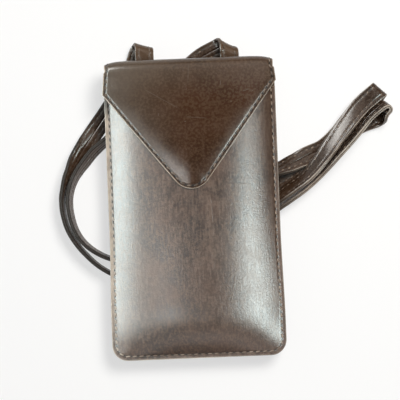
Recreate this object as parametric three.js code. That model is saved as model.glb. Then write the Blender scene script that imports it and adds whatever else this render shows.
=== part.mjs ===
import * as THREE from 'three';

// A leather phone pouch with a pointed flap, lying face up on its own folded strap.
// Millimetres, +Z up, +Y towards the fold, the origin on the floor under the middle of the pouch.

// Pouch
const pouchHalfWidth = 55;
const pouchBottom = -96.4;
const foldTop = 96;
const bottomCorner = 10;
const sideFlare = 1;
const leather = 2;
const touch = 0.3;
const backLift = 12.6;

// Front panel: a flat sewn margin round a crown that is open at the mouth
const mouth = 76.5;
const seamMargin = 3;
const crownHeight = 11.5;
const crownPower = 3.1;
const crownEasing = 0.75;
const bottomRise = 28;
const bottomPower = 2.2;
const mouthDroop = 0.32;
const droopStart = 45;

// Flap: it narrows at the fold, and its straight edges meet a round tip
const flapClearance = 0.9;
const flapDrop = 0.5;
const flapPower = 3;
const foldHalfWidth = 53.6;
const neckLength = 9;
const foldDepth = 6.2;
const foldCornerDrop = 2.2;
const foldCornerPower = 12;
const leftShoulder = { x: -55.5, y: 74.3 };
const rightShoulder = { x: 55.2, y: 79.8 };
const flapTip = { x: -0.7, y: 12.6, radius: 13 };

// Strap
const strapWidth = 12;
const strapThick = 2.4;
const strapChamfer = 0.6;
const stationStep = 9;
const foldSteps = 6;
const tabLift = backLift - touch - strapThick;
const foldLift = 1.2;

// The strap's line, from the left tab to the right one, in stretches with a fold between each two.
// lift is the room under the strap, and roll turns it about its line: 0 and 180 lie flat,
// 90 stands on edge.
const leftTab = [
  { x: -28.2, y: 80.5, lift: tabLift, roll: 180 },
  { x: -28.2, y: 90, lift: tabLift, roll: 180 },
];
const leftFold = {
  x: -28.2, y: 100.6, lift: tabLift, roll: 180, heading: 90, skew: -17.5, bend: foldLift - tabLift,
};
const outerRun = [
  { x: -37, y: 90.2, lift: 0.2, roll: 0 },
  { x: -51, y: 68.2, lift: 0.2, roll: -2 },
  { x: -63.4, y: 51.1, lift: 0.3, roll: -8 },
  { x: -73.4, y: 36.7, lift: 0.2, roll: -36 },
  { x: -79.9, y: 24.6, lift: 0.1, roll: -62 },
  { x: -84.1, y: 13.1, lift: 0.1, roll: -78 },
  { x: -85.2, y: 4.5, lift: 0, roll: -85 },
  { x: -83.8, y: -5.2, lift: 0, roll: -86 },
  { x: -81.4, y: -12.3, lift: 0, roll: -86 },
  { x: -77.2, y: -19.6, lift: 0, roll: -86 },
  { x: -72.1, y: -26.3, lift: 0, roll: -87 },
  { x: -61, y: -36.7, lift: 0, roll: -88 },
  { x: -40, y: -46.8, lift: 0, roll: -90 },
  { x: -20, y: -49, lift: 0, roll: -90 },
  { x: 0, y: -44.5, lift: 0, roll: -90 },
  { x: 20, y: -33.5, lift: 0, roll: -86 },
  { x: 38, y: -17, lift: 0, roll: -82 },
  { x: 53, y: -2.7, lift: 0, roll: -76 },
  { x: 61.5, y: 2.9, lift: 0, roll: -75 },
  { x: 73.2, y: 10.8, lift: 0.1, roll: -75 },
  { x: 84.1, y: 20.4, lift: 1.5, roll: -75 },
  { x: 94.5, y: 31.1, lift: 5.2, roll: -75 },
  { x: 104.1, y: 41, lift: 5.5, roll: -75 },
  { x: 109.8, y: 47.6, lift: 5.6, roll: -74 },
  { x: 115.4, y: 54.1, lift: 5.5, roll: -72 },
  { x: 120.4, y: 58.5, lift: 5.9, roll: -70 },
];
const lowerFold = { x: 124.6, y: 61.5, lift: 5.8, roll: -68, heading: 35, skew: 0, bend: 4.4 };
const hiddenBight = [
  { x: 121.7, y: 54.1, lift: 0.3, roll: -171 },
  { x: 111.2, y: 50.5, lift: 0.1, roll: -180 },
  { x: 99, y: 44.5, lift: 0.2, roll: -180 },
  { x: 87, y: 35.5, lift: 0.1, roll: -180 },
  { x: 71.4, y: 25.3, lift: 0, roll: -180 },
  { x: 54.5, y: 16.5, lift: 0, roll: -180 },
  { x: 36, y: 8.6, lift: 0, roll: -180 },
  { x: 18, y: 2.6, lift: 0, roll: -180 },
  { x: 9, y: 0.8, lift: 0, roll: -180 },
  { x: -4, y: -0.6, lift: 0, roll: -180 },
  { x: -17, y: -1, lift: 0, roll: -180 },
  { x: -33, y: 0.5, lift: 0.6, roll: -130 },
  { x: -42.5, y: 6, lift: 0.2, roll: -92 },
  { x: -43.5, y: 14.5, lift: 0, roll: -90 },
  { x: -36, y: 19, lift: 0, roll: -90 },
  { x: -20, y: 17, lift: 0, roll: -90 },
  { x: 0, y: 13.6, lift: 0, roll: -90 },
  { x: 20, y: 13.6, lift: 0, roll: -84 },
  { x: 38, y: 17.6, lift: 0, roll: -76 },
  { x: 54.7, y: 22.6, lift: 0.6, roll: -50 },
  { x: 66.2, y: 27.1, lift: 1.7, roll: -30 },
  { x: 75.6, y: 31.4, lift: 2.4, roll: -8 },
  { x: 85, y: 35.2, lift: 2.7, roll: -3 },
  { x: 95, y: 43.6, lift: 2.9, roll: 0 },
  { x: 104.8, y: 55, lift: 3.3, roll: 0 },
];
const upperFold = { x: 121.4, y: 69.3, lift: 3.4, roll: 0, heading: 55, skew: 8.5, bend: -5 };
const innerRun = [
  { x: 110.8, y: 62.2, lift: 7.3, roll: -176 },
  { x: 100.8, y: 50.8, lift: 7.1, roll: -168 },
  { x: 91.3, y: 39, lift: 7, roll: -147 },
  { x: 82, y: 26.9, lift: 7.5, roll: -133 },
  { x: 75, y: 19.1, lift: 6.6, roll: -125 },
  { x: 66.1, y: 11.4, lift: 1.8, roll: -116 },
  { x: 54.5, y: 4.2, lift: 0.1, roll: -112 },
  { x: 38, y: -6, lift: 0.2, roll: -140 },
  { x: 20, y: -16, lift: 0.5, roll: -172 },
  { x: 0, y: -26, lift: 0.4, roll: -200 },
  { x: -20, y: -32.5, lift: 0.1, roll: -245 },
  { x: -40, y: -34.5, lift: 0, roll: -272 },
  { x: -57, y: -29.9, lift: 0, roll: -274 },
  { x: -64, y: -26.3, lift: 0, roll: -275 },
  { x: -69.9, y: -21.8, lift: 0, roll: -276 },
  { x: -74.3, y: -16.7, lift: 0, roll: -277 },
  { x: -77.8, y: -9.9, lift: 0, roll: -278 },
  { x: -80.2, y: 0, lift: 0, roll: -279 },
  { x: -80.6, y: 8, lift: 0, roll: -280 },
  { x: -79.5, y: 14.5, lift: 0, roll: -281 },
  { x: -76.9, y: 21.4, lift: 0, roll: -284 },
  { x: -73.3, y: 27, lift: 0, roll: -288 },
  { x: -68.9, y: 32.5, lift: 0, roll: -292 },
  { x: -63.6, y: 38.6, lift: 0, roll: -292 },
  { x: -55.6, y: 45.2, lift: 0, roll: -288 },
  { x: -40, y: 57.5, lift: 0, roll: -300 },
  { x: -20, y: 73.5, lift: 0, roll: -325 },
  { x: -2, y: 89.3, lift: 0, roll: -345 },
  { x: 8.5, y: 97.8, lift: 0.3, roll: -355 },
];
const rightFold = {
  x: 19, y: 103, lift: foldLift, roll: -360, heading: 28, skew: -33, bend: foldLift - tabLift,
};
const rightTab = [
  { x: 26.8, y: 90, lift: tabLift, roll: 180 },
  { x: 26.8, y: 80.5, lift: tabLift, roll: 180 },
];

// Places of the leather's columns across, as fractions of the half width, closer at the edges
const halfColumns = [0.18, 0.35, 0.52, 0.66, 0.78, 0.87, 0.94, 1];
const panelColumns = [...halfColumns.map((column) => -column).reverse(), 0, ...halfColumns];

const smooth = THREE.MathUtils.smoothstep;
const radians = THREE.MathUtils.degToRad;
const up = new THREE.Vector3(0, 0, 1);

function leatherMaterial(color, roughness) {
  return new THREE.MeshStandardMaterial({ color, roughness, metalness: 0 });
}

// How far the front panel bulges above its sewn margin: squarer at the mouth, rounder at the bottom
function crown(x, y) {
  const side = Math.min(1, Math.abs(x) / (pouchHalfWidth - seamMargin));
  const rise = THREE.MathUtils.clamp((y - pouchBottom - seamMargin) / bottomRise, 0, 1);
  const across = 1 - side ** (crownPower - crownEasing * smooth(-y, -40, 60));
  const along = 1 - (1 - rise) ** bottomPower;
  return crownHeight * across * along * (1 - mouthDroop * smooth(y, droopStart, foldTop));
}

// The flap lies flatter than the panel under it
function flapCrown(x, y) {
  return crown(0, y) * (1 - flapDrop * (Math.abs(x) / pouchHalfWidth) ** flapPower);
}

const backMiddle = backLift + leather / 2;
const frontMiddle = backMiddle + leather + touch;
const flapMiddle = frontMiddle + leather + flapClearance;

// A closed leather wall round rows of points on its middle surface
function leatherWall(rows) {
  const lastRow = rows.length - 1;
  const lastColumn = rows[0].length - 1;
  const positions = [];
  const indices = [];
  const along = new THREE.Vector3();
  const across = new THREE.Vector3();
  rows.forEach((row, i) => row.forEach((point, j) => {
    along.subVectors(rows[Math.min(i + 1, lastRow)][j], rows[Math.max(i - 1, 0)][j]);
    across.subVectors(row[Math.min(j + 1, lastColumn)], row[Math.max(j - 1, 0)]);
    const normal = across.clone().cross(along).setLength(leather / 2);
    positions.push(...point.clone().sub(normal).toArray());
    positions.push(...point.clone().add(normal).toArray());
  }));
  const quad = (...corners) => {
    const [a, b, c, d] = corners.map(([i, j, side]) => 2 * (i * (lastColumn + 1) + j) + side);
    indices.push(a, b, c, a, c, d);
  };
  for (let i = 0; i < lastRow; i++) {
    for (let j = 0; j < lastColumn; j++) {
      quad([i, j, 1], [i, j + 1, 1], [i + 1, j + 1, 1], [i + 1, j, 1]);
      quad([i, j, 0], [i + 1, j, 0], [i + 1, j + 1, 0], [i, j + 1, 0]);
    }
    quad([i + 1, 0, 0], [i, 0, 0], [i, 0, 1], [i + 1, 0, 1]);
    quad([i, lastColumn, 0], [i + 1, lastColumn, 0], [i + 1, lastColumn, 1], [i, lastColumn, 1]);
  }
  for (let j = 0; j < lastColumn; j++) {
    quad([0, j, 0], [0, j + 1, 0], [0, j + 1, 1], [0, j, 1]);
    quad([lastRow, j + 1, 0], [lastRow, j, 0], [lastRow, j, 1], [lastRow, j + 1, 1]);
  }
  const geometry = new THREE.BufferGeometry();
  geometry.setAttribute('position', new THREE.Float32BufferAttribute(positions, 3));
  geometry.setIndex(indices);
  geometry.computeVertexNormals();
  return geometry;
}

// Half width of the pouch at a height, with its round bottom corners
function pouchEdge(y) {
  const above = Math.min(bottomCorner, y - pouchBottom);
  const flare = sideFlare * smooth(-y, 15, 75);
  return pouchHalfWidth + flare - bottomCorner + Math.sqrt(above * (2 * bottomCorner - above));
}

function evenSteps(from, to, steps) {
  return Array.from({ length: steps + 1 }, (_, k) => THREE.MathUtils.lerp(from, to, k / steps));
}

// Heights of the rows round the bottom corners, closer together near the bottom edge
const cornerTurns = [0, 30, 55, 90];
const cornerRows = cornerTurns.map((turn) => pouchBottom + bottomCorner * (1 - Math.cos(radians(turn))));

function frontPanel() {
  const above = pouchBottom + bottomCorner;
  const lowRows = evenSteps(above, above + bottomRise, 7).slice(1);
  const highRows = evenSteps(above + bottomRise, mouth, 8).slice(1);
  return leatherWall([...cornerRows, ...lowRows, ...highRows].map((y) => panelColumns.map((column) => {
    const x = column * pouchEdge(y);
    return new THREE.Vector3(x, y, frontMiddle + crown(x, y));
  })));
}

// Where the flap's straight edge from a shoulder meets the round of the tip
function tipTangent(shoulder, side) {
  const centre = new THREE.Vector2(flapTip.x, flapTip.y + flapTip.radius);
  const outward = new THREE.Vector2(shoulder.x, shoulder.y).sub(centre);
  const turn = outward.angle() + side * Math.acos(flapTip.radius / outward.length());
  return new THREE.Vector2(Math.cos(turn), Math.sin(turn)).multiplyScalar(flapTip.radius).add(centre);
}

const leftTangent = tipTangent(leftShoulder, 1);
const rightTangent = tipTangent(rightShoulder, -1);

// Edge of the flap at a height: the neck, the straight edge or the round of the tip
function flapEdge(y, shoulder, tangent) {
  const side = Math.sign(shoulder.x);
  if (y >= shoulder.y) {
    return THREE.MathUtils.mapLinear(y, shoulder.y, foldTop, shoulder.x, side * foldHalfWidth);
  }
  if (y >= tangent.y) {
    return THREE.MathUtils.mapLinear(y, shoulder.y, tangent.y, shoulder.x, tangent.x);
  }
  const below = flapTip.y + flapTip.radius - y;
  return flapTip.x + side * Math.sqrt(Math.max(0, flapTip.radius ** 2 - below ** 2));
}

// The back panel, the fold over the top and the flap are one piece of leather
function backAndFlap() {
  const neckStart = foldTop - foldDepth - neckLength;
  const backHeights = [...cornerRows, ...evenSteps(pouchBottom + bottomCorner, neckStart, 5).slice(1)];
  const backRows = backHeights.map((y) => panelColumns.map((column) => (
    new THREE.Vector3(column * pouchEdge(y), y, backMiddle)
  )));
  const foldRows = evenSteps(-90, 90, 9).map((turn) => panelColumns.map((column) => {
    const x = column * foldHalfWidth;
    const height = (flapMiddle + flapCrown(x, foldTop) - backMiddle) / 2;
    const depth = Math.min(foldDepth, height);
    const reach = foldTop - leather / 2 - foldCornerDrop * Math.abs(column) ** foldCornerPower;
    const y = reach - depth + depth * Math.cos(radians(turn));
    return new THREE.Vector3(x, y, backMiddle + height + height * Math.sin(radians(turn)));
  }));
  const tipCentre = flapTip.y + flapTip.radius;
  const tipRows = [45, 35, 25, 16, 8].map((turn) => tipCentre - flapTip.radius * Math.cos(radians(turn)));
  const flapHeights = [
    foldTop - foldDepth - leather,
    rightShoulder.y,
    ...evenSteps(leftShoulder.y, Math.max(leftTangent.y, rightTangent.y), 12),
    ...tipRows,
  ];
  const flapRows = flapHeights.map((y) => {
    const left = flapEdge(y, leftShoulder, leftTangent);
    const right = flapEdge(y, rightShoulder, rightTangent);
    return panelColumns.map((column) => {
      const x = THREE.MathUtils.mapLinear(column, -1, 1, left, right);
      return new THREE.Vector3(x, y, flapMiddle + flapCrown(x, y));
    });
  });
  return leatherWall([...backRows, ...foldRows, ...flapRows]);
}

// Height of the strap's middle line over what it lies on
function restHeight(roll) {
  const turn = radians(roll);
  return Math.abs(Math.sin(turn)) * strapWidth / 2 + Math.abs(Math.cos(turn)) * strapThick / 2;
}

function routePoint({ x, y, lift, roll }) {
  return new THREE.Vector3(x, y, lift + restHeight(roll));
}

// Direction across the strap, from the way that it runs and its roll
function acrossStrap(heading, roll) {
  const left = up.clone().cross(heading).normalize();
  const top = heading.clone().cross(left);
  const turn = radians(roll);
  return left.multiplyScalar(Math.cos(turn)).addScaledVector(top, Math.sin(turn)).normalize();
}

// A half turn of the strap round an axis in its own plane. skew turns the axis from square, and
// bend is the distance between the two layers, negative where it folds to the other face.
function strapFold({ heading, skew, bend, ...start }) {
  const ahead = new THREE.Vector3(Math.cos(radians(heading)), Math.sin(radians(heading)), 0);
  const across = acrossStrap(ahead, start.roll);
  const inward = across.clone().cross(ahead).multiplyScalar(Math.sign(bend));
  const radius = Math.abs(bend) / 2;
  const slant = radians(skew);
  const axis = across.clone().multiplyScalar(Math.cos(slant)).addScaledVector(ahead, Math.sin(slant));
  const round = ahead.clone().multiplyScalar(Math.cos(slant)).addScaledVector(across, -Math.sin(slant));
  return evenSteps(0, Math.PI, foldSteps).map((turn) => ({
    point: routePoint(start)
      .addScaledVector(round, radius * Math.sin(turn))
      .addScaledVector(inward, radius * (1 - Math.cos(turn)))
      .addScaledVector(axis, radius * turn * Math.tan(slant)),
    across: axis.clone().multiplyScalar(Math.cos(slant))
      .addScaledVector(round, -Math.sin(slant) * Math.cos(turn))
      .addScaledVector(inward, -Math.sin(slant) * Math.sin(turn)),
  }));
}

// The strap's route as places with a direction across, close together in the folds
class StrapRoute extends THREE.Curve {
  constructor(controls) {
    super();
    const line = new THREE.CatmullRomCurve3(controls.map((control) => control.point));
    const last = controls.length - 1;
    const widths = controls.map((control, i) => (
      control.across ?? acrossStrap(line.getTangent(i / last), control.roll)
    ));
    this.stations = [];
    for (let i = 0; i < last; i++) {
      const reach = controls[i].point.distanceTo(controls[i + 1].point);
      const steps = Math.max(1, Math.round(reach / stationStep));
      for (let k = 0; k < steps + (i === last - 1); k++) {
        const tangent = line.getTangent((i + k / steps) / last);
        const across = widths[i].clone().lerp(widths[i + 1], k / steps);
        across.addScaledVector(tangent, -across.dot(tangent)).normalize();
        const face = tangent.clone().cross(across);
        this.stations.push({ point: line.getPoint((i + k / steps) / last), tangent, across, face });
      }
    }
  }

  getSpacedPoints() {
    return this.stations.map((station) => station.point);
  }

  computeFrenetFrames() {
    return {
      tangents: this.stations.map((station) => station.tangent),
      normals: this.stations.map((station) => station.across),
      binormals: this.stations.map((station) => station.face),
    };
  }
}

function strapSection() {
  const wide = strapWidth / 2;
  const thick = strapThick / 2;
  return new THREE.Shape([
    new THREE.Vector2(wide - strapChamfer, -thick),
    new THREE.Vector2(wide, -thick + strapChamfer),
    new THREE.Vector2(wide, thick - strapChamfer),
    new THREE.Vector2(wide - strapChamfer, thick),
    new THREE.Vector2(-wide + strapChamfer, thick),
    new THREE.Vector2(-wide, thick - strapChamfer),
    new THREE.Vector2(-wide, -thick + strapChamfer),
    new THREE.Vector2(-wide + strapChamfer, -thick),
  ]);
}

function strap() {
  const laid = (rows) => rows.map((row) => ({ point: routePoint(row), roll: row.roll }));
  const route = new StrapRoute([
    ...laid(leftTab),
    ...strapFold(leftFold),
    ...laid(outerRun),
    ...strapFold(lowerFold),
    ...laid(hiddenBight),
    ...strapFold(upperFold),
    ...laid(innerRun),
    ...strapFold(rightFold),
    ...laid(rightTab),
  ]);
  const steps = route.stations.length - 1;
  return new THREE.ExtrudeGeometry(strapSection(), { steps, extrudePath: route });
}

function namedMesh(name, geometry, material) {
  const mesh = new THREE.Mesh(geometry, material);
  mesh.name = name;
  return mesh;
}

const bag = new THREE.Group();
bag.add(namedMesh('back_and_flap', backAndFlap(), leatherMaterial(0x3a2a22, 0.42)));
bag.add(namedMesh('front_panel', frontPanel(), leatherMaterial(0x3d2c24, 0.38)));
bag.add(namedMesh('strap', strap(), leatherMaterial(0x35261f, 0.48)));

export default bag;
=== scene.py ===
import math
import bpy
import numpy as np
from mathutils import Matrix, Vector


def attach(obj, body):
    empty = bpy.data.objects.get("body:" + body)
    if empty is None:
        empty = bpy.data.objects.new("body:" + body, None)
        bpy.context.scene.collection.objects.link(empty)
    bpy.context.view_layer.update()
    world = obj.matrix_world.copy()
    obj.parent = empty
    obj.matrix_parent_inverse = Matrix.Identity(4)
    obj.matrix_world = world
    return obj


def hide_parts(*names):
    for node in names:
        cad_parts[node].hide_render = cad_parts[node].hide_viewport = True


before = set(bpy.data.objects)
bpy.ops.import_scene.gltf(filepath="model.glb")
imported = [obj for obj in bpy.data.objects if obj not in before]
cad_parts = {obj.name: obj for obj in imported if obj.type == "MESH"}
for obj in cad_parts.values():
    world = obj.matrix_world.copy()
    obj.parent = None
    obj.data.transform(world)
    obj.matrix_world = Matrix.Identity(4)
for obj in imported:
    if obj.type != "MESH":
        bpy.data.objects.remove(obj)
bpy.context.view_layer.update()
scene = bpy.context.scene
bpy.ops.object.select_all(action="DESELECT")
print("frame loaded:", ", ".join(sorted(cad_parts)))

# Camera: almost straight above, with a long lens, the bag turned a little in the picture
cameraSetup = {
    "aim": (0.004, 0.00505),  # the place on the floor under the middle of the picture
    "height": 1.2,
    "turn": -2.3,  # degrees
    "pictureWidth": 0.2573,  # metres across the picture, at the level of the sewn edges
    "edgeLevel": 0.015,
    "sensor": 36,
}


def addCamera(setup):
    x, y = setup["aim"]
    turn = math.radians(setup["turn"])
    bpy.ops.object.camera_add(location=(x, y, setup["height"]), rotation=(0, 0, turn))
    camera = bpy.context.object
    camera.name = "pictureCamera"
    camera.data.sensor_width = setup["sensor"]
    camera.data.lens = setup["sensor"] * (setup["height"] - setup["edgeLevel"]) / setup["pictureWidth"]
    scene.camera = camera


addCamera(cameraSetup)
print("camera placed")


# Small helpers for rows of points
def smoothStep(value, low, high):
    share = np.clip((value - low) / (high - low), 0, 1)
    return share * share * (3 - 2 * share)


def unit(vectors):
    return vectors / np.linalg.norm(vectors, axis=-1, keepdims=True)


def runLengths(points):
    return np.concatenate([[0], np.cumsum(np.linalg.norm(np.diff(points, axis=0), axis=1))])


def atLengths(points, lengths, wanted):
    return np.stack([np.interp(wanted, lengths, points[:, k]) for k in range(points.shape[1])], axis=1)


def spaced(points, step):
    lengths = runLengths(points)
    count = max(1, round(lengths[-1] / step))
    return atLengths(points, lengths, np.linspace(0, lengths[-1], count + 1))


# Small helpers for meshes
def onlyActive(piece):
    bpy.ops.object.select_all(action="DESELECT")
    piece.select_set(True)
    bpy.context.view_layer.objects.active = piece


def meshPiece(name, points, faces):
    mesh = bpy.data.meshes.new(name)
    corners = [tuple(int(i) for i in face) for face in faces]
    mesh.from_pydata(np.asarray(points).tolist(), [], corners)
    mesh.update()
    piece = bpy.data.objects.new(name, mesh)
    scene.collection.objects.link(piece)
    onlyActive(piece)
    return piece


def facesOutward(piece):
    onlyActive(piece)
    bpy.ops.object.mode_set(mode="EDIT")
    bpy.ops.mesh.select_all(action="SELECT")
    bpy.ops.mesh.normals_make_consistent(inside=False)
    bpy.ops.object.mode_set(mode="OBJECT")


def applyModifiers(piece):
    onlyActive(piece)
    for modifier in list(piece.modifiers):
        bpy.ops.object.modifier_apply(modifier=modifier.name)


def storeValues(mesh, name, values):
    layer = mesh.attributes.new(name, "FLOAT", "POINT")
    layer.data.foreach_set("value", np.asarray(values, dtype=np.float32))


def readValues(mesh, name):
    values = np.zeros(len(mesh.vertices), dtype=np.float32)
    mesh.attributes[name].data.foreach_get("value", values)
    return values


def readVectors(mesh, what):
    vectors = np.zeros(len(mesh.vertices) * 3, dtype=np.float32)
    mesh.vertices.foreach_get(what, vectors)
    return vectors.reshape(-1, 3)


def writePlaces(mesh, places):
    mesh.vertices.foreach_set("co", np.asarray(places, dtype=np.float32).ravel())
    mesh.update()


# Strap: a flat sewn strip, from the left tab through its folds to the right tab.
# Each row is x, y, the room under the strap, and its roll about its own line in degrees.
tabLift = 0.0099
foldLift = 0.0012
strapSetup = {
    "width": 0.012,
    "thick": 0.0024,
    "stationStep": 0.0017,
    "foldStep": 0.0007,
    "leftTab": [(-0.0282, 0.0805, tabLift, 180), (-0.0282, 0.09, tabLift, 180)],
    "outerRun": [
        (-0.037, 0.0902, 0.0002, 0), (-0.051, 0.0682, 0.0002, -2), (-0.0634, 0.0511, 0.0003, -8),
        (-0.0734, 0.0367, 0.0002, -36), (-0.0799, 0.0246, 0.0001, -62), (-0.0841, 0.0131, 0.0001, -78),
        (-0.0852, 0.0045, 0, -85), (-0.0838, -0.0052, 0, -86), (-0.0814, -0.0123, 0, -86),
        (-0.0772, -0.0196, 0, -86), (-0.0721, -0.0263, 0, -87), (-0.061, -0.0367, 0, -88),
        (-0.04, -0.0468, 0, -90), (-0.02, -0.049, 0, -90), (0, -0.0445, 0, -90),
        (0.02, -0.0335, 0, -86), (0.038, -0.017, 0, -82), (0.053, -0.0027, 0, -76),
        (0.0615, 0.0029, 0, -75), (0.0732, 0.0108, 0.0001, -75), (0.0841, 0.0204, 0.0015, -75),
        (0.0945, 0.0311, 0.0052, -75), (0.1041, 0.041, 0.0055, -75), (0.1098, 0.0476, 0.0056, -74),
        (0.1154, 0.0541, 0.0055, -72), (0.1204, 0.0585, 0.0059, -70),
    ],
    "hiddenBight": [
        (0.1217, 0.0541, 0.0003, -171), (0.1112, 0.0505, 0.0001, -180), (0.099, 0.0445, 0.0002, -180),
        (0.087, 0.0355, 0.0001, -180), (0.0714, 0.0253, 0, -180), (0.0545, 0.0165, 0, -180),
        (0.036, 0.0086, 0, -180), (0.018, 0.0026, 0, -180), (0.009, 0.0008, 0, -180),
        (-0.004, -0.0006, 0, -180), (-0.017, -0.001, 0, -180), (-0.033, 0.0005, 0.0006, -130),
        (-0.0425, 0.006, 0.0002, -92), (-0.0435, 0.0145, 0, -90), (-0.036, 0.019, 0, -90),
        (-0.02, 0.017, 0, -90), (0, 0.0136, 0, -90), (0.02, 0.0136, 0, -84), (0.038, 0.0176, 0, -76),
        (0.0547, 0.0226, 0.0006, -50), (0.0662, 0.0271, 0.0017, -30), (0.0756, 0.0314, 0.0024, -8),
        (0.085, 0.0352, 0.0027, -3), (0.095, 0.0436, 0.0029, 0), (0.1048, 0.055, 0.0033, 0),
    ],
    "innerRun": [
        (0.1108, 0.0622, 0.0073, -168), (0.1008, 0.0508, 0.0071, -155), (0.0913, 0.039, 0.007, -146),
        (0.082, 0.0269, 0.0075, -133), (0.075, 0.0191, 0.0066, -126), (0.0656, 0.0121, 0.0025, -125),
        (0.0542, 0.0045, 0.0011, -123), (0.038, -0.006, 0.0002, -140), (0.02, -0.016, 0.0005, -172),
        (0, -0.026, 0.0004, -200), (-0.02, -0.0325, 0.0001, -245), (-0.04, -0.0345, 0, -272),
        (-0.057, -0.0299, 0, -274), (-0.064, -0.0263, 0, -275), (-0.0699, -0.0218, 0, -276),
        (-0.0743, -0.0167, 0, -277), (-0.0778, -0.0099, 0, -278), (-0.0802, 0, 0, -279),
        (-0.0806, 0.008, 0, -280), (-0.0795, 0.0145, 0, -281), (-0.0769, 0.0214, 0, -284),
        (-0.0733, 0.027, 0, -288), (-0.0689, 0.0325, 0, -292), (-0.0636, 0.0386, 0, -292),
        (-0.0556, 0.0452, 0, -288), (-0.04, 0.0575, 0, -300), (-0.02, 0.0735, 0, -325),
        (-0.002, 0.0893, 0, -345), (0.0085, 0.0978, 0.0003, -355),
    ],
    "rightTab": [(0.0268, 0.09, tabLift, 180), (0.0268, 0.0805, tabLift, 180)],
    # x, y, lift, roll, the way it runs in, the slant of the fold and the gap between its layers
    "leftFold": (-0.0282, 0.1006, tabLift, 180, 90, -17.5, foldLift - tabLift),
    "lowerFold": (0.1246, 0.0615, 0.0058, -68, 35, 0, 0.0044),
    "upperFold": (0.1214, 0.0693, 0.0034, 0, 55, 8.5, -0.005),
    "rightFold": (0.019, 0.103, foldLift, -360, 28, -33, foldLift - tabLift),
    "foldSteps": 6,
    "smoothAngle": 50,
}
upward = np.array([0.0, 0.0, 1.0])


def strapPlace(x, y, lift, roll):
    turn = math.radians(roll)
    standing = abs(math.sin(turn)) * strapSetup["width"] / 2
    lying = abs(math.cos(turn)) * strapSetup["thick"] / 2
    return np.array([x, y, lift + standing + lying])


def acrossStrap(heading, roll):
    left = unit(np.cross(upward, heading))
    top = np.cross(heading, left)
    turn = math.radians(roll)
    return unit(math.cos(turn) * left + math.sin(turn) * top)


def strapFold(x, y, lift, roll, heading, skew, bend):
    way, slant = math.radians(heading), math.radians(skew)
    ahead = np.array([math.cos(way), math.sin(way), 0.0])
    across = acrossStrap(ahead, roll)
    inward = np.cross(across, ahead) * math.copysign(1, bend)
    radius = abs(bend) / 2
    axis = math.cos(slant) * across + math.sin(slant) * ahead
    around = math.cos(slant) * ahead - math.sin(slant) * across
    start = strapPlace(x, y, lift, roll)
    controls = []
    for turn in np.linspace(0, math.pi, strapSetup["foldSteps"] + 1):
        place = start + radius * (math.sin(turn) * around + (1 - math.cos(turn)) * inward)
        place = place + radius * turn * math.tan(slant) * axis
        side = math.cos(slant) * axis
        side = side - math.sin(slant) * (math.cos(turn) * around + math.sin(turn) * inward)
        controls.append((place, side, None))
    return controls


def strapControls():
    controls = []
    for stretch in ["leftTab", "leftFold", "outerRun", "lowerFold", "hiddenBight",
                    "upperFold", "innerRun", "rightFold", "rightTab"]:
        if stretch.endswith("Fold"):
            controls += strapFold(*strapSetup[stretch])
        else:
            controls += [(strapPlace(*row), None, row[3]) for row in strapSetup[stretch]]
    return controls


# A centripetal curve through the controls, with the direction across at each place
def strapStations():
    controls = strapControls()
    places = np.array([place for place, side, roll in controls])
    places = np.vstack([2 * places[0] - places[1], places, 2 * places[-1] - places[-2]])
    steps = np.sqrt(np.linalg.norm(np.diff(places, axis=0), axis=1))

    def segment(i, share):
        before, start, end, after = places[i:i + 4]
        gapBefore, gap, gapAfter = steps[i:i + 3]
        leave = (start - before) / gapBefore - (end - before) / (gapBefore + gap) + (end - start) / gap
        arrive = (end - start) / gap - (after - start) / (gap + gapAfter) + (after - end) / gapAfter
        leave, arrive = leave * gap, arrive * gap
        square = -3 * start + 3 * end - 2 * leave - arrive
        cube = 2 * start - 2 * end + leave + arrive
        place = start + share * (leave + share * (square + share * cube))
        return place, unit(leave + share * (2 * square + 3 * share * cube))

    last = len(controls) - 1
    sides = []
    for i, (place, side, roll) in enumerate(controls):
        tangent = segment(i, 0)[1] if i < last else segment(last - 1, 1)[1]
        sides.append(acrossStrap(tangent, roll) if side is None else side)
    stations = []
    for i in range(last):
        inFold = controls[i][1] is not None and controls[i + 1][1] is not None
        step = strapSetup["foldStep" if inFold else "stationStep"]
        count = max(1, round(np.linalg.norm(places[i + 2] - places[i + 1]) / step))
        for k in range(count + (i == last - 1)):
            place, tangent = segment(i, k / count)
            ease = smoothStep(k / count, 0, 1)
            side = sides[i] * (1 - ease) + sides[i + 1] * ease
            side = unit(side - tangent * np.dot(side, tangent))
            stations.append((place, tangent, side, np.cross(tangent, side)))
    return [np.array(column) for column in zip(*stations)]


# Section in millimetres, across and through: sewn lines, a round cut edge of two layers,
# and on one face the seam where the folded leather meets
halfEdge = [(5.55, 1.2), (5.85, 1.06), (5.99, 0.78), (6.0, 0.28), (5.86, 0.0)]
sewnLine = [(4.4, 1.21), (3.85, 1.14), (3.4, 0.98), (2.95, 1.14), (2.4, 1.22)]
halfSeamFace = sewnLine + [(1.3, 1.25), (0.55, 1.2), (0.22, 1.0)]
halfPlainFace = sewnLine + [(1.2, 1.26)]
seamMiddle, plainMiddle = (0.0, 0.72), (0.0, 1.27)


def otherSide(half):
    return [(-across, through) for across, through in half]


def otherFace(half):
    return [(across, -through) for across, through in half]


def strapSection():
    edge = halfEdge + otherFace(halfEdge[-2::-1])
    seamFace = otherSide(halfSeamFace) + [seamMiddle] + halfSeamFace[::-1]
    plainFace = halfPlainFace + [plainMiddle] + otherSide(halfPlainFace[::-1])
    loop = seamFace + edge + otherFace(plainFace) + otherSide(edge[::-1])
    return np.array(loop) / 1000


strapPlaces, strapTangents, strapSides, strapFaces = strapStations()


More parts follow.
